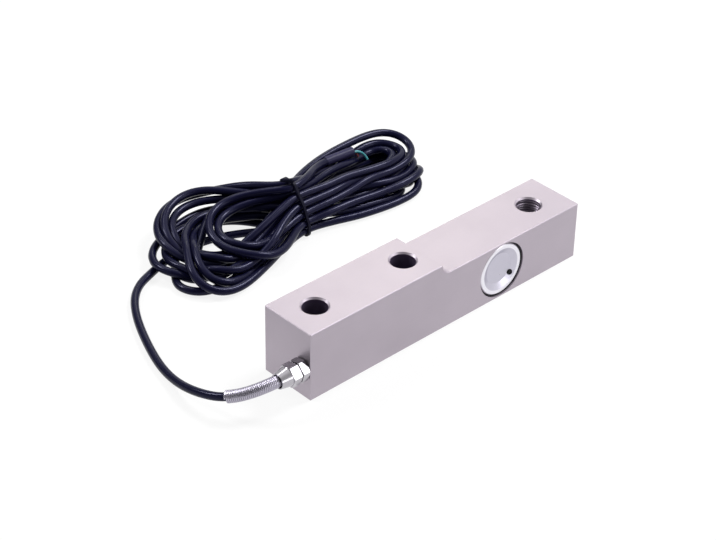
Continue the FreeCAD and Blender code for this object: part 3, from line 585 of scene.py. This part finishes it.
# Studio: a plain white floor, a strong soft light overhead to the right, small ones behind that draw
# narrow highlights, and weak ones in front. The camera sees white all round, and reflections see white
# with two darker parts.
FLOOR_SIZE = 6.0
FLOOR_SHADOW = 0.15  # share of the shadow that the floor shows under the object
SHADOW_REACH = (0.3, 1.2)  # metres from the middle over which that share fades out
PAINT_GRAIN = 4.0 * MM
ROOM_SIDE = (-0.58, -0.57, 0.58)  # where the white surroundings open to the dim room
DARK_CORNER = (-0.35, 0.85, 0.39)  # where they leave a dark corner at the back left
LAMP_AIM = Vector((-0.02, 0.05, 0.02))
LAMPS = [  # name, place, width, height, watts, colour
    ("overhead", (0.76, -0.11, 1.15), 0.46, 0.46, 17.0, "#FFFFFF"),
    ("back", (0.9, 0.95, 0.9), 0.2, 0.2, 0.8, "#FFFFE6"),
    ("back_left", (-0.5, 0.8, 0.8), 0.22, 0.22, 6.0, "#FFFFFF"),
    ("front", (0.69, -1.03, 0.77), 0.5, 0.5, 2.3, "#FFFFFF"),
    ("front_low", (0.4, -1.2, 0.25), 0.7, 0.45, 2.2, "#FFFFFF"),
    ("back_top", (0.07, 0.75, 1.05), 0.4, 0.4, 2.6, "#FFFFFF"),
]

# Matt white paint: shows the object's soft shadow and hides its own edge in the white round it.
floor_paint, tree, shader, place = new_material("matt_white_paint", "#FAFAFA", 0.0, 0.9)
stipple = add_node(tree, "ShaderNodeTexNoise", {"Vector": place, "Scale": 1 / PAINT_GRAIN, "Detail": 2.0})
stipple_gloss = add_node(tree, "ShaderNodeMapRange", {
    "Value": stipple.outputs[0], "To Min": 0.85, "To Max": 0.95})
tree.links.new(stipple_gloss.outputs[0], shader.inputs["Roughness"])
rays = add_node(tree, "ShaderNodeLightPath")
mirrored = add_node(tree, "ShaderNodeMath", {
    0: rays.outputs["Is Glossy Ray"], 1: rays.outputs["Is Transmission Ray"]}, operation="MAXIMUM")
looked_at = add_node(tree, "ShaderNodeMath", {
    0: rays.outputs["Is Camera Ray"], 1: mirrored.outputs[0]}, operation="MAXIMUM")
away = add_node(tree, "ShaderNodeVectorMath", {0: place}, operation="LENGTH")
share = add_node(tree, "ShaderNodeMapRange", {
    "Value": away.outputs["Value"], "From Min": SHADOW_REACH[0], "From Max": SHADOW_REACH[1],
    "To Min": 1 - FLOOR_SHADOW, "To Max": 1.0})
seen = add_node(tree, "ShaderNodeMath", {0: looked_at.outputs[0], 1: share.outputs[0]}, operation="MULTIPLY")
white = add_node(tree, "ShaderNodeEmission", {"Color": (1, 1, 1, 1), "Strength": 1.0})
floor_mix = add_node(tree, "ShaderNodeMixShader", {
    0: seen.outputs[0], 1: shader.outputs[0], 2: white.outputs[0]})
tree.links.new(floor_mix.outputs[0], tree.nodes["Material Output"].inputs["Surface"])
floor_mesh = bpy.data.meshes.new("floor")
half = FLOOR_SIZE / 2
floor_corners = [(-half, -half, 0), (half, -half, 0), (half, half, 0), (-half, half, 0)]
floor_mesh.from_pydata(floor_corners, [], [(0, 1, 2, 3)])
floor_mesh.materials.append(floor_paint)
floor = bpy.data.objects.new("floor", floor_mesh)
bpy.context.scene.collection.objects.link(floor)

for name, spot, width, height, power, colour in LAMPS:
    lamp = bpy.data.lights.new(name, "AREA")
    lamp.shape = "RECTANGLE"
    lamp.size = width
    lamp.size_y = height
    lamp.energy = power
    lamp.color = linear(colour)[:3]
    lamp_object = bpy.data.objects.new(name, lamp)
    lamp_object.location = spot
    lamp_object.rotation_mode = "QUATERNION"
    lamp_object.rotation_quaternion = (LAMP_AIM - Vector(spot)).to_track_quat("-Z", "Y")
    bpy.context.scene.collection.objects.link(lamp_object)

world = bpy.data.worlds.new("white_studio")
bpy.context.scene.world = world
world.use_nodes = True
tree = world.node_tree
rays = add_node(tree, "ShaderNodeLightPath")
mirrored = add_node(tree, "ShaderNodeMath", {
    0: rays.outputs["Is Glossy Ray"], 1: rays.outputs["Is Transmission Ray"]}, operation="MAXIMUM")
shown = add_node(tree, "ShaderNodeMath", {
    0: rays.outputs["Is Camera Ray"], 1: mirrored.outputs[0]}, operation="MAXIMUM")
looking = add_node(tree, "ShaderNodeTexCoord").outputs["Generated"]
toward_room = add_node(tree, "ShaderNodeVectorMath", {0: looking, 1: ROOM_SIDE}, operation="DOT_PRODUCT")
room_light = add_node(tree, "ShaderNodeMapRange", {
    "Value": toward_room.outputs["Value"], "From Min": 0.45, "From Max": 0.9, "To Min": 1.0, "To Max": 0.12})
toward_corner = add_node(tree, "ShaderNodeVectorMath", {0: looking, 1: DARK_CORNER}, operation="DOT_PRODUCT")
corner_light = add_node(tree, "ShaderNodeMapRange", {
    "Value": toward_corner.outputs["Value"], "From Min": 0.7, "From Max": 0.86, "To Min": 1.0, "To Max": 0.2})
darkened = add_node(tree, "ShaderNodeMath", {
    0: room_light.outputs[0], 1: corner_light.outputs[0]}, operation="MULTIPLY")
level = add_node(tree, "ShaderNodeMath", {
    0: rays.outputs["Is Camera Ray"], 1: darkened.outputs[0]}, operation="MAXIMUM")
dim = tree.nodes["Background"]
dim.inputs["Color"].default_value = (1, 1, 1, 1)
dim.inputs["Strength"].default_value = 0.25
bright = add_node(tree, "ShaderNodeBackground", {"Color": (1, 1, 1, 1), "Strength": level.outputs[0]})
world_mix = add_node(tree, "ShaderNodeMixShader", {
    0: shown.outputs[0], 1: dim.outputs[0], 2: bright.outputs[0]})
tree.links.new(world_mix.outputs[0], tree.nodes["World Output"].inputs["Surface"])
bpy.context.scene.view_settings.view_transform = "Standard"

# Camera: stands above the front corner at the cable end and looks down on the object.
# A long lens keeps the bar's edges near parallel.
CAMERA_PLACE = (-0.6770, -0.6596, 0.6779)
CAMERA_HEADING = math.radians(-43.45)
CAMERA_TILT = math.radians(90 - 34.60)
CAMERA_ROLL = math.radians(1.07)
lens = bpy.data.cameras.new("camera")
lens.sensor_fit = "HORIZONTAL"
lens.sensor_width = 36.0
lens.lens = 105.56
camera = bpy.data.objects.new("camera", lens)
camera.matrix_world = (Matrix.Translation(CAMERA_PLACE) @ Matrix.Rotation(CAMERA_HEADING, 4, "Z")
                       @ Matrix.Rotation(CAMERA_TILT, 4, "X") @ Matrix.Rotation(CAMERA_ROLL, 4, "Z"))
bpy.context.scene.collection.objects.link(camera)
bpy.context.scene.camera = camera
